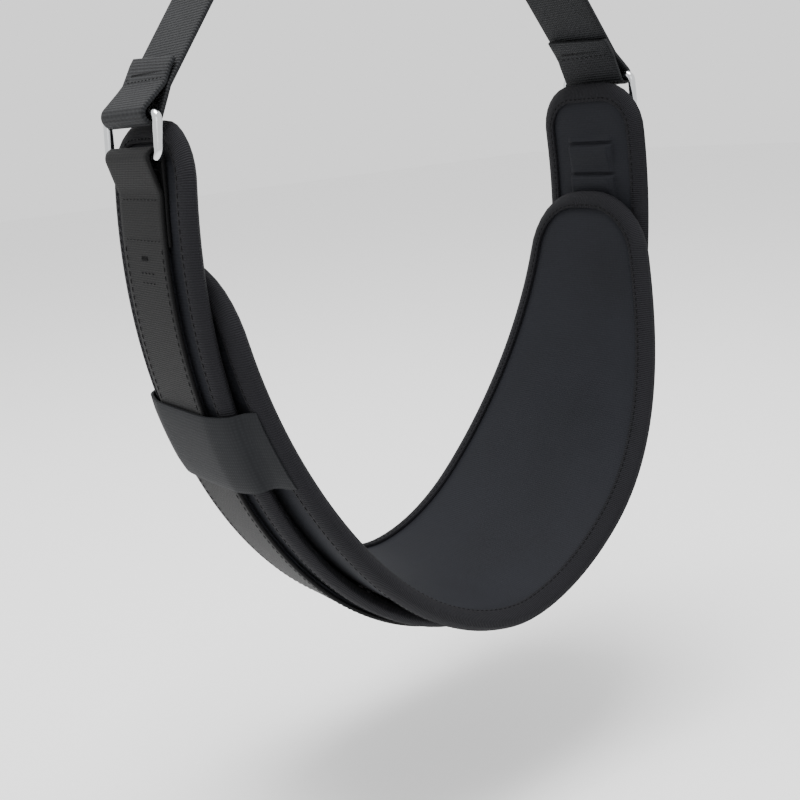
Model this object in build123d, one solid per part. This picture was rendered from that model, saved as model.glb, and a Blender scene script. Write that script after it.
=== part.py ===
from build123d import *
import math
import os

# Belt swing seat, in millimetres. X runs along the belt's span, Y across the belt, +Z up.
# A wide seat pad lies inside a narrower carrier pad, and both hang in a U. A load webbing is sewn down
# the middle of the carrier and ends in a steel ring on each side. An upper strap leads from each ring
# to a top ring in a spring-gate carabiner. The origin is midway between the carabiners' bearing points.

# The U line: how far the belt has turned up from level at a distance along it from its lowest point
TURN_LIMIT = 170.0          # the lean that the line tends to, degrees
TURN_LENGTH = 452.0         # distance over which it gets there
TURN_POWER = 0.8            # below 1, the line turns fastest at its lowest point
GRID = 15.0                 # spacing of the cross-sections

# Seat pad
SEAT_LENGTH = 640.0
SEAT_WIDTH = 168.0
SEAT_TAPER = 43.0           # how much each edge comes in towards a tip
TAPER_START = 0.29          # where the taper starts and would end, in half-lengths
TAPER_SPAN = 0.9
SEAT_CORNER = 40.0
SEAT_THICKNESS = 10.0
SEAT_SKIN = 1.2             # each cover

# Carrier pad, outside the seat pad
CARRIER_LENGTH = 782.0
CARRIER_WIDTH = 88.0
CARRIER_CORNER = 30.0
CARRIER_THICKNESS = 8.0
CARRIER_SKIN = 1.0
PAD_GAP = 2.6               # room for the two bindings between the pads

# Binding tape round both pads
SEAT_BINDING = 1.2          # thickness
CARRIER_BINDING = 1.0
BINDING_LEG = 11.0          # how far it reaches in over each face

# Webbing
WEBBING_WIDTH = 50.0
WEBBING = 2.4               # thickness of one layer
LOOP_PLAY = 0.35            # room between a bar and the webbing round it
OPEN_LOOP_PLAY = 1.0        # the same in the upper straps' lower loops, which take up the sway
TAIL = 43.0                 # sewn-back end of the load webbing, from the bar
STRAP_TAIL = 31.0           # sewn-back ends of the upper straps
LOOP_THROAT = 17.0          # from a bar to where its loop closes
THROAT_SEAM = 3.0           # first seam beyond the throat
THROAT_NICK = 0.01          # width of the throat's point
STRAP_LEAN = 37.0           # inward lean of the upper straps, degrees
STRAP_LENGTH = 125.0        # from bar to bar

# Steel rings of the carrier
RING_WIRE = 5.0
RING_REACH = 29.5           # half the distance between the side arms
RING_HEIGHT = 21.0          # between the two bars
RING_CORNER = 4.0
RING_LEAN = 5.0             # inward lean, degrees
RING_BELOW_END = 18.0       # lower bar to the carrier's end, along the belt

# Top rings, D-shaped
TOP_RING_ARM = 6.0          # straight part of each side arm

# Keeper bands, which hold the carrier against the seat pad
KEEPER_START = 210.0
KEEPER_END = 255.0
KEEPER_SKIN = 1.6
KEEPER_FOOT = 60.0          # half-width over the sewn feet
KEEPER_REST = 1.25          # from the seat pad to the feet, which lie on its binding

# Quilted patches inside the carrier's ends
QUILT_START = 318.0
QUILT_END = 357.0
QUILT_HALF = 19.0
QUILT_THICKNESS = 1.0

# Carabiners
HOOK_WIRE = 7.0
HOOK_HALF = 13.0            # half-width between the wire's middles
HOOK_STRAIGHT = 44.0        # straight length between the two bows
HOOK_PLAY = 0.3             # between the top ring and the bow it hangs on
GATE_PIN_HEIGHT = 23.0      # above the lowest point of the wire's middle line
GATE_PIN_RADIUS = 1.2
GATE_PIN_LENGTH = 9.0
GATE_PIN_PLAY = 0.05
GATE_ROD_RADIUS = 3.2
GATE_ROD_START = 4.6        # above the pin
GATE_TIP = 49.0
NOSE_START = 49.8
EAR_RADIUS = 4.0
EAR_WIDTH = 9.0
SLOT_WIDTH = 4.4
TONGUE_WIDTH = 2.8
TONGUE_RADIUS = 2.8
SPRING_RADIUS = 2.4
SPRING_WIDTH = 0.9

SIDES = {"left": -1, "right": 1}
SEAT_HALF = SEAT_LENGTH / 2
CARRIER_HALF = CARRIER_LENGTH / 2

# Depths, measured from the seat pad's outer face towards the sitter, so the carrier's are negative
SEAT_TOP = SEAT_THICKNESS
CARRIER_TOP = -PAD_GAP
CARRIER_BACK = CARRIER_TOP - CARRIER_THICKNESS
WEBBING_TOP = CARRIER_BACK - WEBBING
WEBBING_BACK = WEBBING_TOP - WEBBING
BAR_DEPTH = CARRIER_BACK - CARRIER_BINDING - WEBBING - LOOP_PLAY - RING_WIRE / 2 - 0.2


def lean(distance):
    """Lean of the belt at a distance along it, in radians, negative on the left."""
    turn = TURN_LIMIT * (1 - math.exp(-(abs(distance) / TURN_LENGTH) ** TURN_POWER))
    return math.copysign(math.radians(turn), distance)


def walk_line():
    """Points of the U line at every millimetre along it."""
    points = [(0.0, 0.0)]
    for step in range(int(CARRIER_HALF) + 20):
        angle = lean(step + 0.5)
        x, z = points[-1]
        points.append((x + math.cos(angle), z + math.sin(angle)))
    return points


LINE = walk_line()


def belt_point(distance, depth=0.0):
    """Point (x, z) at a distance along the belt and a depth towards the sitter."""
    reach = abs(distance)
    step = int(reach)
    part = reach - step
    x = LINE[step][0] + part * (LINE[step + 1][0] - LINE[step][0])
    z = LINE[step][1] + part * (LINE[step + 1][1] - LINE[step][1])
    angle = lean(reach)
    x -= depth * math.sin(angle)
    z += depth * math.cos(angle)
    return math.copysign(x, distance), z


def cross_plane(distance, depth):
    """Plane across the belt, with its x across the belt and its y towards the sitter."""
    x, z = belt_point(distance, depth)
    angle = lean(distance)
    return Plane(origin=(x, 0, z), x_dir=(0, 1, 0), z_dir=(math.cos(angle), 0, math.sin(angle)))


def seat_edge(reach):
    """Half-width of the seat pad before its tip is rounded."""
    part = (reach / SEAT_HALF - TAPER_START) / TAPER_SPAN
    part = min(1.0, max(0.0, part))
    return SEAT_WIDTH / 2 - SEAT_TAPER * part**2 * (3 - 2 * part)


def carrier_edge(reach):
    """Half-width of the carrier pad before its end is rounded."""
    return CARRIER_WIDTH / 2


def half_width(edge, half_length, corner, inset, distance):
    """Half-width of a pad with rounded ends, drawn in by an inset all round."""
    reach = abs(distance)
    radius = corner - inset
    turn = min(1.0, max(0.0, (reach - half_length + corner) / radius))
    return edge(reach) - inset - radius * (1 - math.sqrt(1 - turn**2))


def pad_stations(half_length, corner, inset):
    """Distances of a pad's cross-sections: an even grid, then closer round the ends."""
    start = half_length - corner
    reaches = [GRID * step for step in range(int(start / GRID) + 1) if GRID * step < start - 4]
    for angle in range(0, 91, 15):
        reaches.append(start + (corner - inset) * math.sin(math.radians(angle)))
    return [-reach for reach in reversed(reaches[1:])] + reaches


def layer(edge, half_length, corner, inset, low, high):
    """One closed layer of a pad between two depths."""
    sections = []
    for distance in pad_stations(half_length, corner, inset):
        width = 2 * half_width(edge, half_length, corner, inset, distance)
        sections.append(cross_plane(distance, (low + high) / 2) * Rectangle(width, high - low))
    return loft(sections, ruled=True)


def binding(edge, half_length, corner, low, high, thickness):
    """Tape folded round a pad's edge, open over the middle of both faces."""
    tape = layer(edge, half_length, corner, -thickness, low - thickness, high + thickness)
    pad = layer(edge, half_length, corner, 0, low, high)
    window = layer(edge, half_length, corner, BINDING_LEG, low - 2 * thickness, high + 2 * thickness)
    return tape - pad - window


def extruded(face, width):
    """A flat shape drawn in x and z, given a width across the belt."""
    return extrude(Plane.XZ * face, amount=width / 2, both=True)


def band(start, end, low, high):
    """Strip of constant thickness along the belt, as a flat shape in x and z."""
    inner_steps = range(int(start / GRID) - 1, int(end / GRID) + 2)
    distances = [start] + [GRID * step for step in inner_steps if start + 1 < GRID * step < end - 1] + [end]
    outline = [belt_point(distance, low) for distance in distances]
    outline += [belt_point(distance, high) for distance in reversed(distances)]
    return make_face(Polyline(*outline, close=True))


def ring_bars(side):
    """Middles of the lower and the upper bar of a carrier ring."""
    reach = CARRIER_HALF - RING_BELOW_END
    low_x, low_z = belt_point(side * reach, BAR_DEPTH)
    tip = math.radians(RING_LEAN)
    return (low_x, low_z), (low_x - side * RING_HEIGHT * math.sin(tip), low_z + RING_HEIGHT * math.cos(tip))


def strap_way(side):
    """Unit vector (x, z) up an upper strap."""
    return -side * math.sin(math.radians(STRAP_LEAN)), math.cos(math.radians(STRAP_LEAN))


def along_strap(side, distance, offset=0.0):
    """Point (x, z) up an upper strap from the ring's bar, offset towards +X across the strap."""
    (x, z), (dx, dz) = ring_bars(side)[1], strap_way(side)
    return x + distance * dx + offset * dz, z + distance * dz - offset * dx


def hull_of(circle_at, radius, corners):
    """Rounded shape from a circle to a few corner points, in x and z."""
    circle = Pos(circle_at[0], circle_at[1]) * Circle(radius)
    edges = list(circle.edges())
    for index, corner in enumerate(corners):
        after = corners[(index + 1) % len(corners)]
        edges.append(Line(corner, after).edge())
    return make_hull(edges)


def webbing_loop(bar, play, root, throat):
    """Webbing bent round a bar from its throat, as a flat shape in x and z."""
    inner = RING_WIRE / 2 + play
    tip = [throat, (throat[0] + THROAT_NICK, throat[1] + THROAT_NICK)]
    return hull_of(bar, inner + WEBBING, root) - hull_of(bar, inner, tip)


def load_webbing():
    """Webbing down the carrier's back, turned back round the lower bar of each ring."""
    reach = CARRIER_HALF - RING_BELOW_END
    throat = reach - LOOP_THROAT
    strip = band(-throat, throat, WEBBING_BACK, WEBBING_TOP)
    for side in SIDES.values():
        bar = ring_bars(side)[0]
        tail_ends = sorted((side * (reach - TAIL), side * throat))
        strip += band(tail_ends[0], tail_ends[1], WEBBING_TOP, CARRIER_BACK)
        root = [belt_point(side * (throat - THROAT_SEAM), depth) for depth in (WEBBING_BACK, CARRIER_BACK)]
        strip += webbing_loop(bar, LOOP_PLAY, root, belt_point(side * throat, WEBBING_TOP))
    return extruded(strip, WEBBING_WIDTH)


def upper_strap(side):
    """Strap with a sewn loop at each end. Both sewn-back tails lie on its -X face."""
    strap = make_face(Polyline(*strap_corners(side, LOOP_THROAT, STRAP_LENGTH - LOOP_THROAT, 0, WEBBING),
                               close=True))
    for bar_at, way, play in ((0, 1, OPEN_LOOP_PLAY), (STRAP_LENGTH, -1, LOOP_PLAY)):
        bar = along_strap(side, bar_at)
        throat = bar_at + way * LOOP_THROAT
        strap += make_face(Polyline(*strap_corners(side, throat, bar_at + way * STRAP_TAIL, -WEBBING, 0),
                                    close=True))
        root = [along_strap(side, throat + way * THROAT_SEAM, offset) for offset in (-WEBBING, WEBBING)]
        strap += webbing_loop(bar, play, root, along_strap(side, throat))
    return extruded(strap, WEBBING_WIDTH)


def strap_corners(side, start, end, low, high):
    """Four corners of a straight stretch of strap."""
    return [along_strap(side, distance, offset)
            for distance, offset in ((start, low), (end, low), (end, high), (start, high))]


def ring_plane(bar, way):
    """Plane of a ring, with its x across the belt and its y up the ring."""
    across = Vector(0, 1, 0)
    up = Vector(way[0], 0, way[1])
    return Plane(origin=(bar[0], 0, bar[1]), x_dir=across, z_dir=across.cross(up))


def wire_ring(plane, path, wire):
    """Round wire bent along a closed path that starts at the middle of its lower bar."""
    start = Plane(origin=plane.origin, x_dir=plane.z_dir, z_dir=plane.x_dir)
    return sweep(start * Circle(wire / 2), path=plane * path)


def carrier_ring(side):
    """Rectangular ring with rounded corners."""
    low, high = ring_bars(side)
    way = ((high[0] - low[0]) / RING_HEIGHT, (high[1] - low[1]) / RING_HEIGHT)
    w, h, r = RING_REACH, RING_HEIGHT, RING_CORNER
    path = Wire([
        Line((0, 0), (w - r, 0)).edge(),
        CenterArc((w - r, r), r, -90, 90).edge(),
        Line((w, r), (w, h - r)).edge(),
        CenterArc((w - r, h - r), r, 0, 90).edge(),
        Line((w - r, h), (-w + r, h)).edge(),
        CenterArc((-w + r, h - r), r, 90, 90).edge(),
        Line((-w, h - r), (-w, r)).edge(),
        CenterArc((-w + r, r), r, 180, 90).edge(),
        Line((-w + r, 0), (0, 0)).edge(),
    ])
    return wire_ring(ring_plane(low, way), path, RING_WIRE)


def top_ring(side):
    """D-shaped ring with its straight bar in the strap and its bow over the carabiner."""
    bar = along_strap(side, STRAP_LENGTH)
    w, r = RING_REACH, RING_CORNER
    shoulder = r + TOP_RING_ARM
    path = Wire([
        Line((0, 0), (w - r, 0)).edge(),
        CenterArc((w - r, r), r, -90, 90).edge(),
        Line((w, r), (w, shoulder)).edge(),
        CenterArc((0, shoulder), w, 0, 180).edge(),
        Line((-w, shoulder), (-w, r)).edge(),
        CenterArc((-w + r, r), r, 180, 90).edge(),
        Line((-w + r, 0), (0, 0)).edge(),
    ])
    return wire_ring(ring_plane(bar, strap_way(side)), path, RING_WIRE)


def bow_top():
    """Distance up the strap to the middle of the top ring's bow."""
    return STRAP_LENGTH + RING_CORNER + TOP_RING_ARM + RING_REACH


def hook_base():
    """Distance up the strap to the lowest point of the carabiner's wire, which the top ring hangs on."""
    return bow_top() - RING_WIRE / 2 - HOOK_WIRE / 2 - HOOK_PLAY


def hook_plane(side):
    """Plane of a carabiner, with its x away from the seat's middle and its y up the carabiner."""
    x, z = along_strap(side, hook_base())
    dx, dz = strap_way(side)
    outward = Vector(side * dz, 0, -side * dx)
    up = Vector(dx, 0, dz)
    return Plane(origin=(x, 0, z), x_dir=outward, z_dir=outward.cross(up))


def carabiner(side):
    """Bent wire body with a nose at its upper end and two ears at its lower end, open on its outer side."""
    w, low, high = HOOK_HALF, HOOK_HALF, HOOK_HALF + HOOK_STRAIGHT
    ear_foot = GATE_PIN_HEIGHT - EAR_RADIUS - 1
    path = Wire([
        Line((w, NOSE_START), (w, high)).edge(),
        CenterArc((0, high), w, 0, 180).edge(),
        Line((-w, high), (-w, low)).edge(),
        CenterArc((0, low), w, 180, 180).edge(),
        Line((w, low), (w, ear_foot)).edge(),
    ])
    plane = hook_plane(side)
    start = plane * Pos(w, NOSE_START, 0) * Rot(90, 0, 0) * Circle(HOOK_WIRE / 2)
    wire = sweep(start, path=plane * path)
    ear_face = Pos(w, GATE_PIN_HEIGHT) * Circle(EAR_RADIUS)
    ear_face += Pos(w, (GATE_PIN_HEIGHT + ear_foot) / 2 - 1) * Rectangle(2 * EAR_RADIUS,
                                                                        GATE_PIN_HEIGHT - ear_foot + 2)
    ears = extrude(plane * ear_face, amount=EAR_WIDTH / 2, both=True)
    slot_low = GATE_PIN_HEIGHT - TONGUE_RADIUS - 0.5
    slot_high = GATE_PIN_HEIGHT + EAR_RADIUS + 1
    slot_face = Pos(w, (slot_low + slot_high) / 2) * Rectangle(4 * EAR_RADIUS, slot_high - slot_low)
    slot = extrude(plane * slot_face, amount=SLOT_WIDTH / 2, both=True)
    hole = gate_pin(side, 0)
    return wire + ears - slot - hole


def gate_pin(side, play):
    """Pin of the gate, or with play the bore round it."""
    face = Pos(HOOK_HALF, GATE_PIN_HEIGHT) * Circle(GATE_PIN_RADIUS + play)
    return extrude(hook_plane(side) * face, amount=GATE_PIN_LENGTH / 2, both=True)


def gate(side):
    """Round gate rod with a flat tongue on the pin."""
    plane = hook_plane(side)
    rod_start = GATE_PIN_HEIGHT + GATE_ROD_START
    rod_face = plane * Pos(HOOK_HALF, rod_start, 0) * Rot(-90, 0, 0) * Circle(GATE_ROD_RADIUS)
    rod = extrude(rod_face, amount=GATE_TIP - rod_start)
    tongue_face = Pos(HOOK_HALF, GATE_PIN_HEIGHT) * Circle(TONGUE_RADIUS)
    tongue_face += Pos(HOOK_HALF, GATE_PIN_HEIGHT + GATE_ROD_START / 2) * Rectangle(2 * TONGUE_RADIUS,
                                                                                    GATE_ROD_START + 1)
    tongue_back = SLOT_WIDTH / 2 - 0.3 - TONGUE_WIDTH
    tongue_plane = plane.offset(tongue_back)
    tongue = extrude(tongue_plane * tongue_face, amount=TONGUE_WIDTH)
    return rod + tongue - gate_pin(side, GATE_PIN_PLAY)


def gate_spring(side):
    """Closed coil round the pin beside the tongue, which presses the gate shut."""
    face = Pos(HOOK_HALF, GATE_PIN_HEIGHT) * (Circle(SPRING_RADIUS) - Circle(GATE_PIN_RADIUS))
    plane = hook_plane(side).offset(-SLOT_WIDTH / 2 + 0.1)
    return extrude(plane * face, amount=SPRING_WIDTH)


def keeper_band(side):
    """Band over the carrier and its webbing, sewn to the seat pad by a foot on each side."""
    wall = CARRIER_WIDTH / 2 + CARRIER_BINDING + 0.4
    crest = WEBBING_WIDTH / 2 + 1.5
    shoulder = CARRIER_BACK - CARRIER_BINDING - 0.4
    top = WEBBING_BACK - 0.3
    rest = -KEEPER_REST
    inner = [(KEEPER_FOOT, rest), (wall, rest), (wall, shoulder), (crest, top)]
    outer = [(KEEPER_FOOT, rest - KEEPER_SKIN), (wall + KEEPER_SKIN, rest - KEEPER_SKIN),
             (wall + KEEPER_SKIN, shoulder - KEEPER_SKIN), (crest + 0.5, top - KEEPER_SKIN)]
    outline = inner + [(-y, depth) for y, depth in reversed(inner)]
    outline += [(-y, depth) for y, depth in outer] + list(reversed(outer))
    sections = []
    for step in range(int(KEEPER_START / GRID), int(KEEPER_END / GRID) + 1):
        sections.append(cross_plane(side * GRID * step, 0) * make_face(Polyline(*outline, close=True)))
    return loft(sections, ruled=True)


def quilt(side):
    """Two sewn ribs inside a carrier end."""
    pitch = (QUILT_END - QUILT_START) / 2
    ribs = []
    for rib in range(2):
        middle = side * (QUILT_START + (rib + 0.5) * pitch)
        plane = cross_plane(middle, CARRIER_TOP + QUILT_THICKNESS / 2 + 0.2)
        face = plane * Rectangle(2 * QUILT_HALF, QUILT_THICKNESS)
        ribs.append(extrude(face, amount=pitch / 2 - 0.8, both=True))
    return Compound(ribs)


def tack(plane, width, height, thickness):
    """Dense block of thread over a seam, standing on a plane."""
    return extrude(plane * Rectangle(width, height), amount=thickness)


def load_bar_tacks():
    """Two tacks over each sewn-back end of the load webbing."""
    tacks = []
    for side in SIDES.values():
        for back in (TAIL - 4, TAIL - 14):
            distance = side * (CARRIER_HALF - RING_BELOW_END - back)
            x, z = belt_point(distance, WEBBING_BACK - 0.02)
            angle = lean(distance)
            outward = (math.sin(angle), 0, -math.cos(angle))
            tacks.append(tack(Plane(origin=(x, 0, z), x_dir=(0, 1, 0), z_dir=outward), 30, 2.2, 0.5))
    return Compound(tacks)


def strap_bar_tacks(side):
    """Tacks across both sewn-back tails of an upper strap, on its -X face."""
    dx, dz = strap_way(side)
    tacks = []
    for distance in (STRAP_TAIL - 8, STRAP_LENGTH - STRAP_TAIL + 8):
        x, z = along_strap(side, distance, -WEBBING)
        tacks.append(tack(Plane(origin=(x, 0, z), x_dir=(0, 1, 0), z_dir=(-dz, 0, dx)), 36, 2.2, 0.5))
    return Compound(tacks)


def seat_layer(inset, low, high):
    """Layer of the seat pad."""
    return layer(seat_edge, SEAT_HALF, SEAT_CORNER, inset, low, high)


def carrier_layer(inset, low, high):
    """Layer of the carrier pad."""
    return layer(carrier_edge, CARRIER_HALF, CARRIER_CORNER, inset, low, high)


def make_nodes():
    """Every piece, by the name of its node."""
    nodes = {
        "seat_foam": seat_layer(0, SEAT_SKIN, SEAT_TOP - SEAT_SKIN),
        "seat_inner_cover": seat_layer(0, SEAT_TOP - SEAT_SKIN, SEAT_TOP),
        "seat_outer_cover": seat_layer(0, 0, SEAT_SKIN),
        "seat_binding": binding(seat_edge, SEAT_HALF, SEAT_CORNER, 0, SEAT_TOP, SEAT_BINDING),
        "carrier_foam": carrier_layer(0, CARRIER_BACK + CARRIER_SKIN, CARRIER_TOP - CARRIER_SKIN),
        "carrier_inner_cover": carrier_layer(0, CARRIER_TOP - CARRIER_SKIN, CARRIER_TOP),
        "carrier_outer_cover": carrier_layer(0, CARRIER_BACK, CARRIER_BACK + CARRIER_SKIN),
        "carrier_binding": binding(carrier_edge, CARRIER_HALF, CARRIER_CORNER, CARRIER_BACK, CARRIER_TOP,
                                   CARRIER_BINDING),
        "load_webbing": load_webbing(),
        "load_bar_tacks": load_bar_tacks(),
    }
    padding_end = CARRIER_HALF - RING_BELOW_END - TAIL
    nodes["channel_padding"] = extruded(band(-padding_end, padding_end, WEBBING_TOP, CARRIER_BACK),
                                        WEBBING_WIDTH - 6)
    for name, side in SIDES.items():
        nodes[f"carrier_quilt_{name}"] = quilt(side)
        nodes[f"keeper_band_{name}"] = keeper_band(side)
        nodes[f"ring_{name}"] = carrier_ring(side)
        nodes[f"upper_strap_{name}"] = upper_strap(side)
        nodes[f"strap_bar_tacks_{name}"] = strap_bar_tacks(side)
        nodes[f"top_ring_{name}"] = top_ring(side)
        nodes[f"carabiner_{name}"] = carabiner(side)
        nodes[f"gate_{name}"] = gate(side)
        nodes[f"gate_pin_{name}"] = gate_pin(side, 0)
        nodes[f"gate_spring_{name}"] = gate_spring(side)
    return nodes


def bearing_point(side):
    """Point (x, z) where a carabiner's top bow bears on what carries it."""
    return along_strap(side, hook_base() + 2 * HOOK_HALF + HOOK_STRAIGHT - HOOK_WIRE / 2)


os.makedirs("parts", exist_ok=True)
lift = Pos(0, 0, -bearing_point(1)[1])
for node_name, shape in make_nodes().items():
    export_step(lift * shape, f"parts/{node_name}.step")
for label, point in (
    ("ring lower bar", ring_bars(1)[0]),
    ("ring upper bar", ring_bars(1)[1]),
    ("top ring bar", along_strap(1, STRAP_LENGTH)),
    ("swing axis", along_strap(1, hook_base())),
    ("bearing point", bearing_point(1)),
):
    print(f"{label}: x {point[0]:.2f}, z {point[1] - bearing_point(1)[1]:.2f}")
pin = hook_plane(1).from_local_coords(Vector(HOOK_HALF, GATE_PIN_HEIGHT, 0))
print(f"gate pin: x {pin.X:.2f}, z {pin.Z - bearing_point(1)[1]:.2f}")
print(f"lowest point of the U line: z {-bearing_point(1)[1]:.2f}")
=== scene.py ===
"""Belt swing seat: padded seat belt, webbing-backed carrier, straps, rings and carabiners."""

import math

import bmesh
import bpy
from mathutils import Matrix, Vector


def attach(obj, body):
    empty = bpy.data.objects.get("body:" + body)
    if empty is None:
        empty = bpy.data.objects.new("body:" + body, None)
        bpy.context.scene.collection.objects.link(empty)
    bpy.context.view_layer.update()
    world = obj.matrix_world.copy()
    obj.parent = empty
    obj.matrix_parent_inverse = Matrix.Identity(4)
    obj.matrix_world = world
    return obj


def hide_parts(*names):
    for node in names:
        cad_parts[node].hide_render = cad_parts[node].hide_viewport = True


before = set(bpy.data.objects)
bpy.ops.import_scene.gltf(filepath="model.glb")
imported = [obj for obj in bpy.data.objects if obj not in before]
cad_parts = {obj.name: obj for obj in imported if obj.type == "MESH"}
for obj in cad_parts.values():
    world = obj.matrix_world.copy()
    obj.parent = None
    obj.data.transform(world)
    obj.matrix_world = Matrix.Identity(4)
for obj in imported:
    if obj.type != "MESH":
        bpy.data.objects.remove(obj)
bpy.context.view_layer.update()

bl_info = {
    "name": "Belt Swing Seat",
    "version": (1, 0, 0),
    "blender": (4, 5, 0),
    "location": "View3D > Sidebar > Swing seat",
    "description": "Builds a padded belt swing seat over its engineering frame",
    "category": "Add Mesh",
}

SIDES = {"left": -1, "right": 1}

# The U line that the belt hangs along, in metres and degrees
TURN_LIMIT = 170.0
TURN_LENGTH = 0.452
TURN_POWER = 0.8
BELT_BOTTOM = -0.49877

# Depths towards the sitter, from the seat pad's outer face
CARRIER_FACE = -0.0026
CARRIER_BACK = -0.0106
TAIL_DEPTH = -0.0118
BAND_DEPTH = -0.0142
BAR_DEPTH = -0.01705

# The seat pad's taper starts and would end at these parts of its half-length
TAPER_START = 0.29
TAPER_SPAN = 0.9

# Width of a pad's edge that its binding holds flat, and how far that edge is pinched
HELD_EDGE = 0.014
PINCHED_EDGE = 0.019
SETTLING_FRAMES = 20

# The floor, and the camera: lens in millimetres, heading, tilt and roll in degrees
FLOOR_DROP = 0.124
CAMERA_LENS = 49.03
CAMERA_PLACE = (-0.4166, -0.5317, BELT_BOTTOM + 0.311)
CAMERA_TURN = (36.65, -14.93, -5.25)

# The bars that the webbing goes round
LOWER_BAR = 0.373
RING_TOP = (0.17322, -0.17945)
STRAP_LEAN = 37.0
BAR_RADIUS = 0.0025


class SwingSeatSizes(bpy.types.PropertyGroup):
    """Sizes of the pads, tapes and webbing."""

    seat_length: bpy.props.FloatProperty(
        name="Seat length", description="Length of the seat pad along the belt", default=0.64, unit="LENGTH")
    seat_width: bpy.props.FloatProperty(
        name="Seat width", description="Width of the seat pad at its middle", default=0.168, unit="LENGTH")
    seat_taper: bpy.props.FloatProperty(
        name="Seat taper", description="How far each edge comes in towards a tip", default=0.043, unit="LENGTH")
    seat_corner: bpy.props.FloatProperty(
        name="Seat corner", description="Radius of the seat pad's tips", default=0.04, unit="LENGTH")
    seat_thickness: bpy.props.FloatProperty(
        name="Seat thickness", description="Thickness of the seat pad", default=0.01, unit="LENGTH")
    carrier_length: bpy.props.FloatProperty(
        name="Carrier length", description="Length of the carrier pad along the belt", default=0.782, unit="LENGTH")
    carrier_width: bpy.props.FloatProperty(
        name="Carrier width", description="Width of the carrier pad", default=0.088, unit="LENGTH")
    carrier_corner: bpy.props.FloatProperty(
        name="Carrier corner", description="Radius of the carrier pad's ends", default=0.03, unit="LENGTH")
    tape_leg: bpy.props.FloatProperty(
        name="Binding reach", description="How far the binding tape reaches in over each face",
        default=0.0105, unit="LENGTH")
    webbing_width: bpy.props.FloatProperty(
        name="Webbing width", description="Width of the load webbing and the upper straps",
        default=0.05, unit="LENGTH")
    stitch_pitch: bpy.props.FloatProperty(
        name="Stitch pitch", description="Distance from one stitch to the next", default=0.0042, unit="LENGTH")
    keeper_start: bpy.props.FloatProperty(
        name="Keeper start", description="Where a keeper band starts along the belt", default=0.199, unit="LENGTH")
    keeper_end: bpy.props.FloatProperty(
        name="Keeper end", description="Where a keeper band ends along the belt", default=0.244, unit="LENGTH")


def linear(code):
    """Linear colour of an sRGB hex value."""
    channels = [int(code[place:place + 2], 16) / 255 for place in (1, 3, 5)]
    return [c / 12.92 if c <= 0.04045 else ((c + 0.055) / 1.055) ** 2.4 for c in channels]


class SwingSeatColours(bpy.types.PropertyGroup):
    """Colours of the fabrics and the metal."""

    neoprene: bpy.props.FloatVectorProperty(
        name="Pad neoprene", description="Covers of both pads", subtype="COLOR", default=linear("#1c1d21"))
    tape: bpy.props.FloatVectorProperty(
        name="Binding tape", description="Ribbed tape round both pads", subtype="COLOR", default=linear("#17171a"))
    webbing: bpy.props.FloatVectorProperty(
        name="Webbing", description="Upper straps", subtype="COLOR", default=linear("#1a1b1d"))
    sleeve: bpy.props.FloatVectorProperty(
        name="Webbing sleeve", description="Load webbing", subtype="COLOR", default=linear("#0a0a0b"))
    keeper: bpy.props.FloatVectorProperty(
        name="Keeper neoprene", description="The two keeper bands", subtype="COLOR", default=linear("#1f2022"))
    thread: bpy.props.FloatVectorProperty(
        name="Thread", description="All stitching", subtype="COLOR", default=linear("#070708"))
    steel: bpy.props.FloatVectorProperty(
        name="Zinc plate", description="The carabiners", subtype="COLOR", default=linear("#b9bcc0"))
    chrome: bpy.props.FloatVectorProperty(
        name="Chrome", description="The rings", subtype="COLOR", default=linear("#d4d6d8"))


# Shapes along the belt

def lean(distance):
    """Lean of the belt at a distance along it, in radians, negative on the left."""
    turn = TURN_LIMIT * (1 - math.exp(-(abs(distance) / TURN_LENGTH) ** TURN_POWER))
    return math.copysign(math.radians(turn), distance)


def walk_line():
    """Points (x, z) of the U line at every millimetre along its right half."""
    points = [(0.0, 0.0)]
    for step in range(420):
        angle = lean((step + 0.5) / 1000)
        x, z = points[-1]
        points.append((x + math.cos(angle) / 1000, z + math.sin(angle) / 1000))
    return points


LINE = walk_line()


def on_belt(co):
    """Place of a flat point (distance along, across, depth) on the hanging belt."""
    reach = abs(co.x) * 1000
    step = int(reach)
    part = reach - step
    start, end = LINE[step], LINE[step + 1]
    angle = lean(reach / 1000)
    x = start[0] + part * (end[0] - start[0]) - co.z * math.sin(angle)
    z = start[1] + part * (end[1] - start[1]) + co.z * math.cos(angle)
    return Vector((math.copysign(x, co.x), co.y, BELT_BOTTOM + z))


def on_strap(side):
    """Function that places a flat point (distance up, across, offset towards +X) on an upper strap."""
    sine = -side * math.sin(math.radians(STRAP_LEAN))
    cosine = math.cos(math.radians(STRAP_LEAN))

    def place(co):
        x = side * RING_TOP[0] + co.x * sine + co.z * cosine
        z = RING_TOP[1] + co.x * cosine - co.z * sine
        return Vector((x, co.y, z))

    return place


def ease(part):
    """Smooth step from 0 to 1."""
    part = min(1.0, max(0.0, part))
    return part * part * (3 - 2 * part)


def pad_shape(pad):
    """Half-length, corner radius and edge function of a pad."""
    sizes = bpy.context.scene.swing_seat_sizes
    if pad == "seat":
        half = sizes.seat_length / 2
        return half, sizes.seat_corner, lambda reach: (
            sizes.seat_width / 2 - sizes.seat_taper * ease((reach / half - TAPER_START) / TAPER_SPAN))
    return sizes.carrier_length / 2, sizes.carrier_corner, lambda reach: sizes.carrier_width / 2


def half_width(pad, inset, reach):
    """Half-width of a pad with rounded ends, drawn in by an inset all round."""
    half, corner, edge = pad_shape(pad)
    radius = corner - inset
    turn = min(1.0, max(0.0, (reach - half + corner) / radius))
    return edge(reach) - inset - radius * (1 - math.sqrt(1 - turn ** 2))


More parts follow.
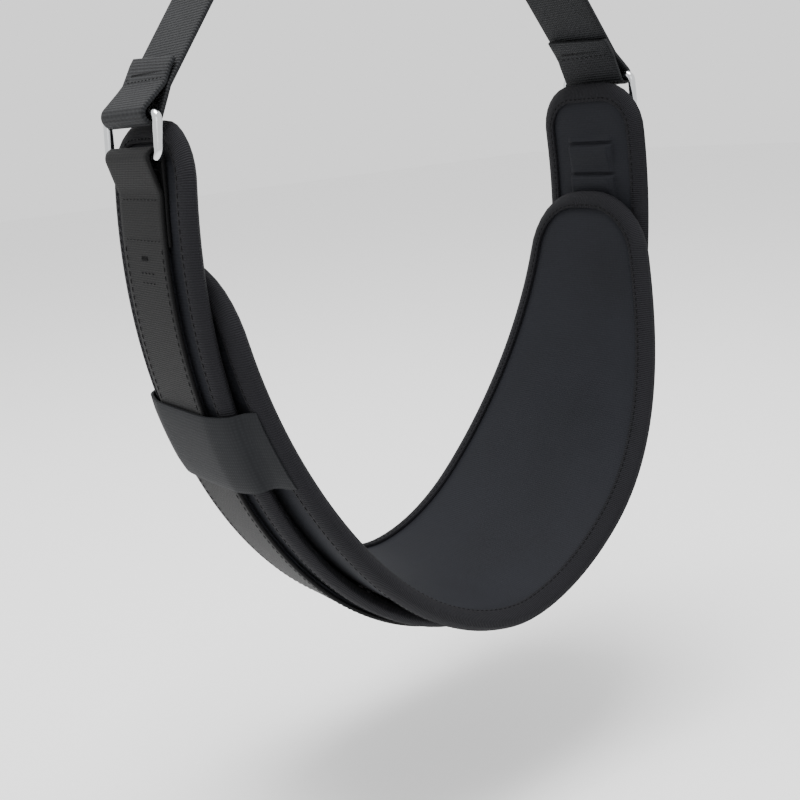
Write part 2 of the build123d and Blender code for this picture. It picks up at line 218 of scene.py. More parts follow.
def station(pad, inset, part):
    """Distance along the belt for a part from -1 to 1 of a pad, closer together round its ends."""
    half, corner, _ = pad_shape(pad)
    straight = 0.84
    if abs(part) <= straight:
        reach = (half - corner) * abs(part) / straight
    else:
        reach = half - corner + (corner - inset) * math.sin((abs(part) - straight) / (1 - straight) * math.pi / 2)
    return math.copysign(reach, part)


def outline(pad, inset, count):
    """Closed outline (distance, across) of a pad drawn in by an inset, with count points on each side."""
    reaches = [station(pad, inset, 2 * index / (count - 1) - 1) for index in range(count)]
    near = [(reach, -half_width(pad, inset, abs(reach))) for reach in reaches]
    far = [(reach, half_width(pad, inset, abs(reach))) for reach in reversed(reaches)]
    return near + far


def round_bar(centre, radius, before, after):
    """Clockwise arc round a bar, touching the lines from the point before it and to the point after it."""
    middle = Vector(centre)
    came, gone = Vector(before) - middle, Vector(after) - middle
    start = math.atan2(came.y, came.x) - math.acos(radius / came.length)
    end = math.atan2(gone.y, gone.x) + math.acos(radius / gone.length)
    while end > start:
        end -= 2 * math.pi
    steps = 18
    angles = [start + (end - start) * step / steps for step in range(steps + 1)]
    return [middle + radius * Vector((math.cos(angle), math.sin(angle))) for angle in angles]


def fill_in(points, gap):
    """The same line with points added where two neighbours are further apart than a gap."""
    filled = [Vector(points[0])]
    for point in points[1:]:
        start, end = filled[-1], Vector(point)
        count = max(1, math.ceil((end - start).length / gap))
        filled += [start.lerp(end, step / count) for step in range(1, count + 1)]
    return filled


def round_off(points, times):
    """The same line with its corners cut off a few times over."""
    for _ in range(times):
        cut = [points[0]]
        for start, end in zip(points, points[1:]):
            cut += [start.lerp(end, 0.25), start.lerp(end, 0.75)]
        points = cut + [points[-1]]
    return points


# Meshes

def finish_piece(name, bm, material, body, nodes=()):
    """Object with this mesh, which rides on a body and stands for some nodes of the frame."""
    mesh = bpy.data.meshes.new(name)
    bm.to_mesh(mesh)
    bm.free()
    mesh.shade_smooth()
    mesh.materials.append(material)
    piece = bpy.data.objects.new(name, mesh)
    bpy.context.scene.collection.objects.link(piece)
    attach(piece, body)
    if nodes:
        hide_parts(*nodes)
    return piece


def set_uv(bm, place):
    """UV map in metres, from each vertex's flat place."""
    uv = bm.loops.layers.uv.new("cloth")
    for face in bm.faces:
        for loop in face.loops:
            loop[uv].uv = place(loop.vert)


def move_all(bm, place):
    """Moves every vertex from its flat place to its real one."""
    for vert in bm.verts:
        vert.co = place(vert.co)


def tape(path, width, across, place):
    """Strip along a flat path (x, z), as wide as given, with its UV map in metres."""
    bm = bmesh.new()
    bmesh.ops.create_grid(bm, x_segments=len(path) - 1, y_segments=across, size=0.5)
    lengths = [0.0]
    for start, end in zip(path, path[1:]):
        lengths.append(lengths[-1] + (end - start).length)
    uv = bm.loops.layers.uv.new("cloth")
    for face in bm.faces:
        for loop in face.loops:
            column = round((loop.vert.co.x + 0.5) * (len(path) - 1))
            loop[uv].uv = (lengths[column], loop.vert.co.y * width)
    for vert in bm.verts:
        point = path[round((vert.co.x + 0.5) * (len(path) - 1))]
        vert.co = Vector((point[0], vert.co.y * width, point[1]))
    move_all(bm, place)
    return bm


def thicken(piece, thickness, bevel):
    """Wall thickness about the middle of a strip, with its edges rounded."""
    solid = piece.modifiers.new("Thickness", "SOLIDIFY")
    solid.thickness = thickness
    solid.offset = 0
    round_edge = piece.modifiers.new("Rounded edges", "BEVEL")
    round_edge.width = bevel
    round_edge.segments = 2
    round_edge.limit_method = "ANGLE"
    round_edge.angle_limit = math.radians(60)


def stitch(bm, middle, along, normal, length, width, height):
    """One stitch of thread, half sunk in the cloth."""
    side = normal.cross(along).normalized()
    turn = Matrix((along.normalized(), side, normal)).transposed().to_4x4()
    size = Matrix.Diagonal((length / 2, width / 2, height / 2, 1))
    bmesh.ops.create_icosphere(bm, subdivisions=1, radius=1, matrix=Matrix.Translation(middle) @ turn @ size)


def sew(bm, points, normal, closed=False, width=0.0009, sink=0.0):
    """Row of stitches along a flat line of points."""
    sizes = bpy.context.scene.swing_seat_sizes
    pitch = sizes.stitch_pitch
    line = [Vector(point) for point in points]
    if closed:
        line.append(line[0].copy())
    left = pitch / 2
    for start, end in zip(line, line[1:]):
        run = end - start
        while run.length > 0 and left <= run.length:
            middle = start + run.normalized() * left
            stitch(bm, middle - normal * sink, run, normal, pitch * 0.78, width, 0.0007)
            left += pitch
        left -= run.length


def tack(bm, middle, across, normal, width, height):
    """Bar tack: a close zigzag of thread."""
    along = normal.cross(across)
    count = int(width / 0.0011)
    for index in range(count):
        place = middle + across * ((index + 0.5) / count - 0.5) * width
        slant = along * height + across * (0.0009 if index % 2 else -0.0009)
        stitch(bm, place, slant, normal, height * 1.05, 0.0012, 0.0011)


def pad_mesh(pad, low, high, columns, rows, pinch, shrink):
    """Closed pad between two depths, thinner under its binding, with its UV map in metres."""
    bm = bmesh.new()
    bmesh.ops.create_grid(bm, x_segments=columns, y_segments=rows, size=1)
    half = pad_shape(pad)[0]
    for vert in bm.verts:
        reach = station(pad, shrink, vert.co.x)
        reach_side = half_width(pad, shrink, abs(reach))
        bow = math.sin(vert.co.y * math.pi / 2) * 0.35 + vert.co.y * 0.65
        vert.co = Vector((reach, bow * reach_side, low))
    moved = bmesh.ops.extrude_face_region(bm, geom=bm.faces[:])
    for item in moved["geom"]:
        if isinstance(item, bmesh.types.BMVert):
            item.co.z = high
    bmesh.ops.recalc_face_normals(bm, faces=bm.faces[:])
    for vert in bm.verts:
        reach_side = half_width(pad, shrink, min(abs(vert.co.x), half - shrink))
        near = max(0.0, min(reach_side - abs(vert.co.y), half - shrink - abs(vert.co.x)))
        squeeze = pinch * (1 - ease(near / PINCHED_EDGE))
        vert.co.z += squeeze if vert.co.z < (low + high) / 2 else -squeeze
    set_uv(bm, lambda vert: (vert.co.x, vert.co.y))
    return bm


def swell(piece, pad, pressure, cap):
    """Fills a pad like foam pressing on its cover: cloth under pressure, held along its edge."""
    held = piece.vertex_groups.new(name="held")
    loose = set()
    half = pad_shape(pad)[0]
    flat = piece.data.uv_layers["cloth"].data
    places = {loop.vertex_index: flat[loop.index].uv for loop in piece.data.loops}
    for index, (reach, across) in places.items():
        gap = min(half_width(pad, 0, min(abs(reach), half)) - abs(across), half - abs(reach))
        held.add([index], 1.0 if gap < HELD_EDGE else 0.0, "REPLACE")
        if gap >= HELD_EDGE:
            loose.add(index)
    cloth = piece.modifiers.new("Foam pressure", "CLOTH")
    cloth.settings.vertex_group_mass = "held"
    cloth.settings.use_pressure = True
    cloth.settings.uniform_pressure_force = pressure
    cloth.settings.tension_stiffness = 25
    cloth.settings.compression_stiffness = 25
    cloth.settings.bending_stiffness = 2
    cloth.settings.effector_weights.gravity = 0
    cloth.point_cache.frame_start = 1
    cloth.point_cache.frame_end = SETTLING_FRAMES
    rest = [vert.co.copy() for vert in piece.data.vertices]
    for number in range(1, SETTLING_FRAMES + 1):
        bpy.context.scene.frame_set(number)
    settled = piece.evaluated_get(bpy.context.evaluated_depsgraph_get()).to_mesh()
    moves = [vert.co - rest[vert.index] for vert in settled.vertices]
    piece.evaluated_get(bpy.context.evaluated_depsgraph_get()).to_mesh_clear()
    piece.modifiers.remove(cloth)
    bpy.context.scene.frame_set(1)
    # The foam behind the cover evens out its short ripples
    near = [[vert.index] for vert in piece.data.vertices]
    for edge in piece.data.edges:
        start, end = edge.vertices
        near[start].append(end)
        near[end].append(start)
    for _ in range(14):
        moves = [sum((moves[other] for other in near[index]), Vector()) / len(near[index])
                 if index in loose else move for index, move in enumerate(moves)]
    for vert, move in zip(piece.data.vertices, moves):
        vert.co = rest[vert.index] + move * min(1.0, cap / max(move.length, 1e-9))
    piece.vertex_groups.remove(held)
    smooth = piece.modifiers.new("Smooth cover", "SUBSURF")
    smooth.levels = 1
    smooth.render_levels = 1


def binding_mesh(pad, profile, count):
    """Tape folded round a pad's edge: an outline drawn out through a closed profile of (inset, depth)."""
    bm = bmesh.new()
    place = bm.verts.layers.int.new("place")
    step = bm.verts.layers.int.new("step")
    total = 2 * count
    ring = bmesh.ops.create_circle(bm, segments=total, radius=1)["verts"]
    for index, vert in enumerate(ring):
        vert[place] = index
    edges = bm.edges[:]
    loops = [ring]
    for number in range(1, len(profile)):
        new = bmesh.ops.extrude_edge_only(bm, edges=edges)["geom"]
        edges = [item for item in new if isinstance(item, bmesh.types.BMEdge)
                 and all(vert in new for vert in item.verts)]
        fresh = [item for item in new if isinstance(item, bmesh.types.BMVert)]
        for vert in fresh:
            vert[step] = number
        edges = [edge for edge in edges if all(vert[step] == number for vert in edge.verts)]
        loops.append(fresh)
    first = [edge for edge in bm.edges if all(vert[step] == 0 for vert in edge.verts)]
    bmesh.ops.bridge_loops(bm, edges=first + edges)
    lines = [outline(pad, inset, count) for inset, _ in profile]
    for vert in bm.verts:
        along, across = lines[vert[step]][vert[place]]
        vert.co = Vector((along, across, profile[vert[step]][1]))
    middle = lines[len(profile) // 2]
    walked = [0.0]
    for start, end in zip(middle, middle[1:] + middle[:1]):
        walked.append(walked[-1] + (Vector(end) - Vector(start)).length)
    wide = [0.0]
    for start, end in zip(profile, profile[1:] + profile[:1]):
        wide.append(wide[-1] + (Vector(end) - Vector(start)).length)
    uv = bm.loops.layers.uv.new("cloth")
    for face in bm.faces:
        spots = [vert[place] for vert in face.verts]
        steps = [vert[step] for vert in face.verts]
        for loop in face.loops:
            spot, number = loop.vert[place], loop.vert[step]
            if spot == 0 and max(spots) - min(spots) > count:
                spot = total
            if number == 0 and max(steps) - min(steps) > 1:
                number = len(profile)
            loop[uv].uv = (walked[spot], wide[number])
    bmesh.ops.recalc_face_normals(bm, faces=bm.faces[:])
    return bm


# Materials

def add(tree, kind, inputs=None, **settings):
    """Node with its settings, and its inputs set to values or linked from other nodes' outputs."""
    node = tree.nodes.new(kind)
    for name, value in settings.items():
        setattr(node, name, value)
    for name, value in (inputs or {}).items():
        if isinstance(value, bpy.types.NodeSocket):
            tree.links.new(value, node.inputs[name])
        else:
            node.inputs[name].default_value = value
    return node


def new_material(name):
    """Empty material and its node tree."""
    material = bpy.data.materials.new(name)
    material.use_nodes = True
    material.node_tree.nodes.clear()
    return material, material.node_tree


def finish_material(tree, colour, inputs):
    """Principled shader with this base colour and these inputs, on the material's output."""
    shader = add(tree, "ShaderNodeBsdfPrincipled", {"Base Color": colour, **inputs})
    add(tree, "ShaderNodeOutputMaterial", {"Surface": shader.outputs["BSDF"]})


def shade(colour, times):
    """A colour made lighter or darker, with alpha."""
    return [min(1.0, channel * times) for channel in colour] + [1.0]


def neoprene(name, colour, knit_mm):
    """Neoprene laminated with a fine polyester jersey: soft, matt, even, with a slight nap."""
    material, tree = new_material(name)
    cloth = add(tree, "ShaderNodeUVMap", uv_map="cloth").outputs["UV"]
    place = add(tree, "ShaderNodeTexCoord").outputs["Object"]
    # Knit loops, drawn at twice their real spacing so that they show
    scale = 0.314 / (knit_mm / 1000)
    courses = add(tree, "ShaderNodeTexWave", {"Vector": cloth, "Scale": scale, "Distortion": 0.6,
                                              "Detail": 1.0, "Detail Scale": 1.5}, bands_direction="X")
    wales = add(tree, "ShaderNodeTexWave", {"Vector": cloth, "Scale": scale * 1.3, "Distortion": 0.6,
                                            "Detail": 1.0, "Detail Scale": 1.5}, bands_direction="Y")
    knit = add(tree, "ShaderNodeMath", {0: courses.outputs["Fac"], 1: wales.outputs["Fac"]}, operation="MULTIPLY")
    nap = add(tree, "ShaderNodeTexNoise", {"Vector": place, "Scale": 900.0, "Detail": 3.0, "Roughness": 0.6})
    cloud = add(tree, "ShaderNodeTexNoise", {"Vector": place, "Scale": 22.0, "Detail": 3.0, "Roughness": 0.55})
    height = add(tree, "ShaderNodeMath", {0: nap.outputs["Fac"], 1: 0.5, 2: knit.outputs[0]},
                 operation="MULTIPLY_ADD")
    spots = add(tree, "ShaderNodeMath", {0: height.outputs[0], 1: 0.55, 2: cloud.outputs["Fac"]},
                operation="MULTIPLY_ADD")
    ramp = add(tree, "ShaderNodeMapRange", {"Value": spots.outputs[0], "From Min": 0.35, "From Max": 1.1})
    mix = add(tree, "ShaderNodeMix", {"Factor": ramp.outputs["Result"], "A": shade(colour, 0.82),
                                      "B": shade(colour, 1.18)}, data_type="RGBA")
    bump = add(tree, "ShaderNodeBump", {"Height": height.outputs[0], "Strength": 0.35, "Distance": 0.0003})
    rough = add(tree, "ShaderNodeMapRange", {"Value": cloud.outputs["Fac"], "To Min": 0.6, "To Max": 0.76})
    finish_material(tree, mix.outputs["Result"], {
        "Roughness": rough.outputs["Result"], "Normal": bump.outputs["Normal"], "IOR": 1.46,
        "Specular IOR Level": 0.1, "Sheen Weight": 0.01, "Sheen Roughness": 0.5})
    return material


def ribbed_tape(colour):
    """Grosgrain polyester tape: tight ribs across it, each catching a little light."""
    material, tree = new_material("Grosgrain polyester tape")
    cloth = add(tree, "ShaderNodeUVMap", uv_map="cloth").outputs["UV"]
    # Ribs 1.3 mm apart, a little coarser than real ones so that they show
    ribs = add(tree, "ShaderNodeTexWave", {"Vector": cloth, "Scale": 0.314 / 0.0013, "Distortion": 0.25,
                                           "Detail": 1.0, "Detail Scale": 3.0}, bands_direction="X")
    yarns = add(tree, "ShaderNodeTexWave", {"Vector": cloth, "Scale": 0.314 / 0.0009, "Distortion": 0.4,
                                            "Detail": 1.0, "Detail Scale": 2.0}, bands_direction="Y")
    place = add(tree, "ShaderNodeTexCoord").outputs["Object"]
    fuzz = add(tree, "ShaderNodeTexNoise", {"Vector": place, "Scale": 1400.0, "Detail": 2.0})
    cloud = add(tree, "ShaderNodeTexNoise", {"Vector": place, "Scale": 40.0, "Detail": 3.0})
    weave = add(tree, "ShaderNodeMath", {0: yarns.outputs["Fac"], 1: 0.3, 2: ribs.outputs["Fac"]},
                operation="MULTIPLY_ADD")
    height = add(tree, "ShaderNodeMath", {0: fuzz.outputs["Fac"], 1: 0.25, 2: weave.outputs[0]},
                 operation="MULTIPLY_ADD")
    spots = add(tree, "ShaderNodeMath", {0: cloud.outputs["Fac"], 1: 0.6, 2: height.outputs[0]},
                operation="MULTIPLY_ADD")
    ramp = add(tree, "ShaderNodeMapRange", {"Value": spots.outputs[0], "From Min": 0.3, "From Max": 1.7})
    mix = add(tree, "ShaderNodeMix", {"Factor": ramp.outputs["Result"], "A": shade(colour, 0.7),
                                      "B": shade(colour, 1.35)}, data_type="RGBA")
    bump = add(tree, "ShaderNodeBump", {"Height": height.outputs[0], "Strength": 0.7, "Distance": 0.0004})
    finish_material(tree, mix.outputs["Result"], {
        "Roughness": 0.72, "Normal": bump.outputs["Normal"], "IOR": 1.5,
        "Specular IOR Level": 0.1, "Sheen Weight": 0.01, "Sheen Roughness": 0.5})
    return material


def woven_webbing(name, colour, pick_mm, contrast):
    """Heavy polyester webbing: fine cross ribs of stout yarn over a close warp, with a faint gloss."""
    material, tree = new_material(name)
    cloth = add(tree, "ShaderNodeUVMap", uv_map="cloth").outputs["UV"]
    # Picks and warp ends a little coarser than the real 1 mm ones, so that they show
    picks = add(tree, "ShaderNodeTexWave", {"Vector": cloth, "Scale": 314 / pick_mm, "Distortion": 0.5,
                                            "Detail": 2.0, "Detail Scale": 2.0}, bands_direction="X")
    ends = add(tree, "ShaderNodeTexWave", {"Vector": cloth, "Scale": 350 / pick_mm, "Distortion": 0.5,
                                           "Detail": 1.0, "Detail Scale": 2.0}, bands_direction="Y")
    diagonal = add(tree, "ShaderNodeTexWave", {"Vector": cloth, "Scale": 220 / pick_mm, "Distortion": 0.3,
                                               "Detail": 1.0}, bands_direction="DIAGONAL")
    place = add(tree, "ShaderNodeTexCoord").outputs["Object"]
    cloud = add(tree, "ShaderNodeTexNoise", {"Vector": place, "Scale": 55.0, "Detail": 4.0, "Roughness": 0.6})
    weave = add(tree, "ShaderNodeMath", {0: ends.outputs["Fac"], 1: 0.45, 2: picks.outputs["Fac"]},
                operation="MULTIPLY_ADD")
    height = add(tree, "ShaderNodeMath", {0: diagonal.outputs["Fac"], 1: 0.25, 2: weave.outputs[0]},
                 operation="MULTIPLY_ADD")
    spots = add(tree, "ShaderNodeMath", {0: cloud.outputs["Fac"], 1: 0.7, 2: height.outputs[0]},
                operation="MULTIPLY_ADD")
    ramp = add(tree, "ShaderNodeMapRange", {"Value": spots.outputs[0], "From Min": 0.4, "From Max": 2.1})
    mix = add(tree, "ShaderNodeMix", {"Factor": ramp.outputs["Result"], "A": shade(colour, 1 - contrast),
                                      "B": shade(colour, 1 + contrast)}, data_type="RGBA")
    bump = add(tree, "ShaderNodeBump", {"Height": height.outputs[0], "Strength": contrast, "Distance": 0.0004})
    finish_material(tree, mix.outputs["Result"], {
        "Roughness": 0.6, "Normal": bump.outputs["Normal"], "IOR": 1.52,
        "Specular IOR Level": 0.12, "Sheen Weight": 0.01, "Sheen Roughness": 0.4})
    return material


def bonded_thread(colour):
    """Bonded polyester thread: twisted, with a soft waxed gloss."""
    material, tree = new_material("Bonded polyester thread")
    place = add(tree, "ShaderNodeTexCoord").outputs["Object"]
    twist = add(tree, "ShaderNodeTexWave", {"Vector": place, "Scale": 0.314 / 0.0008, "Distortion": 1.0,
                                            "Detail": 1.0}, bands_direction="DIAGONAL")
    mix = add(tree, "ShaderNodeMix", {"Factor": twist.outputs["Fac"], "A": shade(colour, 0.7),
                                      "B": shade(colour, 1.8)}, data_type="RGBA")
    bump = add(tree, "ShaderNodeBump", {"Height": twist.outputs["Fac"], "Strength": 0.3, "Distance": 0.0001})
    finish_material(tree, mix.outputs["Result"], {
        "Roughness": 0.6, "Normal": bump.outputs["Normal"], "IOR": 1.5, "Specular IOR Level": 0.1})
    return material


def chrome_plate(colour):
    """Chromed steel wire: a bright mirror with faint polishing lines and a few duller spots."""
    material, tree = new_material("Chrome plated steel")
    place = add(tree, "ShaderNodeTexCoord").outputs["Object"]
    haze = add(tree, "ShaderNodeTexNoise", {"Vector": place, "Scale": 160.0, "Detail": 4.0, "Roughness": 0.7})
    rough = add(tree, "ShaderNodeMapRange", {"Value": haze.outputs["Fac"], "From Min": 0.4, "From Max": 0.75,
                                             "To Min": 0.07, "To Max": 0.2})
    mix = add(tree, "ShaderNodeMix", {"Factor": haze.outputs["Fac"], "A": shade(colour, 0.92),
                                      "B": shade(colour, 1.02)}, data_type="RGBA")
    bump = add(tree, "ShaderNodeBump", {"Height": haze.outputs["Fac"], "Strength": 0.06, "Distance": 0.0002})
    finish_material(tree, mix.outputs["Result"], {
        "Roughness": rough.outputs["Result"], "Normal": bump.outputs["Normal"], "Metallic": 1.0})
    return material


def zinc_plate(colour):
    """Zinc plated steel: a cool satin grey with cloudy brightness and rubbed spots."""
    material, tree = new_material("Zinc plated steel")
    place = add(tree, "ShaderNodeTexCoord").outputs["Object"]
    cloud = add(tree, "ShaderNodeTexNoise", {"Vector": place, "Scale": 120.0, "Detail": 5.0, "Roughness": 0.65})
    grain = add(tree, "ShaderNodeTexNoise", {"Vector": place, "Scale": 1600.0, "Detail": 2.0})
    rough = add(tree, "ShaderNodeMapRange", {"Value": cloud.outputs["Fac"], "From Min": 0.3, "From Max": 0.7,
                                             "To Min": 0.24, "To Max": 0.42})
    mix = add(tree, "ShaderNodeMix", {"Factor": cloud.outputs["Fac"], "A": shade(colour, 0.75),
                                      "B": shade(colour, 1.1)}, data_type="RGBA")
    bump = add(tree, "ShaderNodeBump", {"Height": grain.outputs["Fac"], "Strength": 0.15, "Distance": 0.0002})
    finish_material(tree, mix.outputs["Result"], {
        "Roughness": rough.outputs["Result"], "Normal": bump.outputs["Normal"], "Metallic": 1.0})
    return material


def painted_floor():
    """White studio sweep: matt paint with a slight roller texture."""
    material, tree = new_material("Matt white studio paint")
    place = add(tree, "ShaderNodeTexCoord").outputs["Object"]
    roller = add(tree, "ShaderNodeTexNoise", {"Vector": place, "Scale": 300.0, "Detail": 3.0})
    mix = add(tree, "ShaderNodeMix", {"Factor": roller.outputs["Fac"], "A": [0.93, 0.93, 0.93, 1.0],
                                      "B": [0.96, 0.96, 0.96, 1.0]}, data_type="RGBA")
    bump = add(tree, "ShaderNodeBump", {"Height": roller.outputs["Fac"], "Strength": 0.05, "Distance": 0.0005})
    finish_material(tree, mix.outputs["Result"], {"Roughness": 0.9, "Normal": bump.outputs["Normal"]})
    return material


# Operators, one for each piece or group of like pieces

class SWING_OT_materials(bpy.types.Operator):
    """Make the fabrics, threads and metals"""
    bl_idname = "swing.materials"
    bl_label = "Materials"

    def execute(self, context):
        colours = context.scene.swing_seat_colours
        neoprene("Jersey faced neoprene", colours.neoprene, 1.6)
        neoprene("Brushed keeper neoprene", colours.keeper, 1.9)
        ribbed_tape(colours.tape)
        woven_webbing("Woven polyester webbing", colours.webbing, 1.7, 0.6)
        woven_webbing("Fine woven nylon sleeve", colours.sleeve, 1.2, 0.3)
        bonded_thread(colours.thread)
        chrome_plate(colours.chrome)
        zinc_plate(colours.steel)
        return {"FINISHED"}


class SWING_OT_pads(bpy.types.Operator):
    """Make the seat pad and the carrier pad"""
    bl_idname = "swing.pads"
    bl_label = "Pads"

    def execute(self, context):
        cover = bpy.data.materials["Jersey faced neoprene"]
        thickness = context.scene.swing_seat_sizes.seat_thickness
        bm = pad_mesh("seat", 0.0004, thickness - 0.0004, 132, 30, 0.0022, 0.0008)
        move_all(bm, on_belt)
        seat = finish_piece("seat_pad", bm, cover, "seat",
                            ("seat_foam", "seat_inner_cover", "seat_outer_cover"))
        swell(seat, "seat", 4.0, 0.0014)
        bm = pad_mesh("carrier", CARRIER_BACK + 0.0003, CARRIER_FACE - 0.0003, 150, 18, 0.0018, 0.0008)
        move_all(bm, on_belt)
        carrier = finish_piece("carrier_pad", bm, cover, "seat",
                               ("carrier_foam", "carrier_inner_cover", "carrier_outer_cover"))
        swell(carrier, "carrier", 4.0, 0.0006)
        return {"FINISHED"}


class SWING_OT_bindings(bpy.types.Operator):
    """Make the binding tapes and the stitching that holds them"""
    bl_idname = "swing.bindings"
    bl_label = "Binding tapes"

    def execute(self, context):
        sizes = context.scene.swing_seat_sizes
        leg = sizes.tape_leg
        for pad, low, high, lift in (("seat", 0.0, sizes.seat_thickness, 0.0011),
                                     ("carrier", CARRIER_BACK, CARRIER_FACE, 0.0009)):
            half = [(leg, -0.0006), (leg, lift * 0.7), (leg - 0.0006, lift), (leg * 0.55, lift * 0.75),
                    (leg * 0.28, -0.0004), (leg * 0.1, -0.0018), (-0.0006, -0.0034)]
            profile = [(inset, high + rise) for inset, rise in half]
            profile += [(inset, low - rise) for inset, rise in reversed(half)]
            bm = binding_mesh(pad, profile, 96)
            move_all(bm, on_belt)
            finish_piece(f"{pad}_binding_tape", bm, bpy.data.materials["Grosgrain polyester tape"], "seat",
                         (f"{pad}_binding",))
            thread = bmesh.new()
            for depth, normal in ((high + lift * 0.95, Vector((0, 0, 1))), (low - lift * 0.95, Vector((0, 0, -1)))):
                row = [(reach, across, depth) for reach, across in outline(pad, leg - 0.0022, 96)]
                sew(thread, row, normal, closed=True)
            move_all(thread, on_belt)
            finish_piece(f"{pad}_binding_stitches", thread, bpy.data.materials["Bonded polyester thread"],
                         "seat")
        return {"FINISHED"}


class SWING_OT_load_webbing(bpy.types.Operator):
    """Make the load webbing, the fold under it and its stitching"""
    bl_idname = "swing.load_webbing"
    bl_label = "Load webbing"

    def execute(self, context):
        width = context.scene.swing_seat_sizes.webbing_width
        throat = LOWER_BAR - 0.017
        tail = LOWER_BAR - 0.043
        radius = BAR_RADIUS + 0.00155
        path = [(tail, TAIL_DEPTH), (throat, TAIL_DEPTH)]
        path += round_bar((LOWER_BAR, BAR_DEPTH), radius, (throat, TAIL_DEPTH), (throat, BAND_DEPTH))
        path += [(throat, BAND_DEPTH), (-throat, BAND_DEPTH)]
        path += round_bar((-LOWER_BAR, BAR_DEPTH), radius, (-throat, BAND_DEPTH), (-throat, TAIL_DEPTH))
        path += [(-throat, TAIL_DEPTH), (-tail, TAIL_DEPTH)]
        bm = tape(fill_in(path, 0.006), width, 12, on_belt)
        band = finish_piece("load_webbing_band", bm, bpy.data.materials["Fine woven nylon sleeve"], "seat",
                            ("load_webbing",))
        thicken(band, 0.0023, 0.0007)
        bm = tape(fill_in([(-tail + 0.001, TAIL_DEPTH), (tail - 0.001, TAIL_DEPTH)], 0.008), width - 0.006, 4,
                  on_belt)
        fold = finish_piece("channel_fold", bm, bpy.data.materials["Jersey faced neoprene"], "seat",
                            ("channel_padding",))
        thicken(fold, 0.0023, 0.0009)
        thread = bmesh.new()
        depth = BAND_DEPTH - 0.00115
        down = Vector((0, 0, -1))
        for across in (-width / 2 + 0.0035, width / 2 - 0.0035):
            row = fill_in([(-tail, across, depth), (tail, across, depth)], 0.01)
            sew(thread, row, down)
        for side in SIDES.values():
            middle = Vector((side * (tail - 0.006), 0, depth))
            tack(thread, middle, Vector((0, 1, 0)), down, 0.007, 0.0028)
            for reach in (tail - 0.0135, tail - 0.0185):
                sew(thread, [(side * reach, -0.009, depth), (side * reach, 0.009, depth)], down)
            for reach in (tail + 0.003, throat - 0.003):
                sew(thread, [(side * reach, -width / 2 + 0.004, depth), (side * reach, width / 2 - 0.004, depth)],
                    down, width=0.0006)
        move_all(thread, on_belt)
        finish_piece("load_webbing_stitches", thread, bpy.data.materials["Bonded polyester thread"], "seat",
                     ("load_bar_tacks",))
        return {"FINISHED"}


class SWING_OT_keepers(bpy.types.Operator):
    """Make the keeper bands that hold the carrier against the seat pad"""
    bl_idname = "swing.keepers"
    bl_label = "Keeper bands"

    def execute(self, context):
        sizes = context.scene.swing_seat_sizes
        wall = sizes.carrier_width / 2 + 0.0022
        crest = sizes.webbing_width / 2 + 0.0022
        foot, knee = wall + 0.0165, wall + 0.0014
        side_line = [(foot, -0.0004), (wall + 0.0115, -0.0022), (wall + 0.0055, -0.0036), (knee, -0.0066),
                     (wall - 0.001, -0.0120), (crest + 0.004, -0.0160), (crest - 0.004, -0.0169)]
        line = side_line + [(-across, depth) for across, depth in reversed(side_line)]
        line = round_off([Vector(point) for point in line], 3)
        start, end = sizes.keeper_start, sizes.keeper_end
        for name, side in SIDES.items():
            bm = bmesh.new()
            bmesh.ops.create_grid(bm, x_segments=12, y_segments=len(line) - 1, size=0.5)
            for vert in bm.verts:
                across, depth = line[round((vert.co.y + 0.5) * (len(line) - 1))]
                part = vert.co.x + 0.5
                # The feet end under the seat's binding, so they follow its taper
                tuck = half_width("seat", 0.0045, start + (end - start) * part)
                if abs(across) > knee:
                    reach = knee + (abs(across) - knee) * (tuck - knee) / (foot - knee)
                    across = math.copysign(reach, across)
                hem = 0.0005 * (1 - ease(min(part, 1 - part) / 0.16))
                belly = 0.0006 * math.sin(part * math.pi) * ease((wall - abs(across)) / 0.02)
                vert.co = Vector((side * (start + (end - start) * part), across, depth + hem - belly))
            set_uv(bm, lambda vert: (vert.co.x, vert.co.y))
            if side < 0:
                bmesh.ops.reverse_faces(bm, faces=bm.faces[:])
            move_all(bm, on_belt)
            band = finish_piece(f"keeper_{name}", bm, bpy.data.materials["Brushed keeper neoprene"], "seat",
                                (f"keeper_band_{name}",))
            thicken(band, 0.0016, 0.0005)
        return {"FINISHED"}


class SWING_OT_quilts(bpy.types.Operator):
    """Make the quilted patches inside the carrier's ends"""
    bl_idname = "swing.quilts"
    bl_label = "Quilted patches"

    def execute(self, context):
        start, pitch, half = 0.312, 0.021, 0.0205
        rows, lip, rise = 2.25, 0.4, 0.0044
        for name, side in SIDES.items():
            bm = bmesh.new()
            bmesh.ops.create_grid(bm, x_segments=84, y_segments=24, size=0.5)
            for vert in bm.verts:
                row = (vert.co.x + 0.5) * rows
                along = row % 1
                if row >= 2:
                    puff = lip * (1 - ease((row - 2) / (rows - 2)))
                elif along < 0.84:
                    puff = lip + (1 - lip) * ease(along / 0.7)
                else:
                    puff = 1 - ease((along - 0.84) / 0.07) + lip * ease((along - 0.95) / 0.05)
                edge = ease((0.5 - abs(vert.co.y)) / 0.08)
                height = CARRIER_FACE - 0.0002 + rise * puff * edge
                vert.co = Vector((side * (start + pitch * row), vert.co.y * 2 * half, height))
            moved = bmesh.ops.extrude_face_region(bm, geom=bm.faces[:])
            for item in moved["geom"]:
                if isinstance(item, bmesh.types.BMVert):
                    item.co.z = CARRIER_FACE - 0.0008
            bmesh.ops.recalc_face_normals(bm, faces=bm.faces[:])
            set_uv(bm, lambda vert: (vert.co.x, vert.co.y))
            move_all(bm, on_belt)
            quilt = finish_piece(f"quilt_{name}", bm, bpy.data.materials["Jersey faced neoprene"], "seat",
                                 (f"carrier_quilt_{name}",))
        return {"FINISHED"}


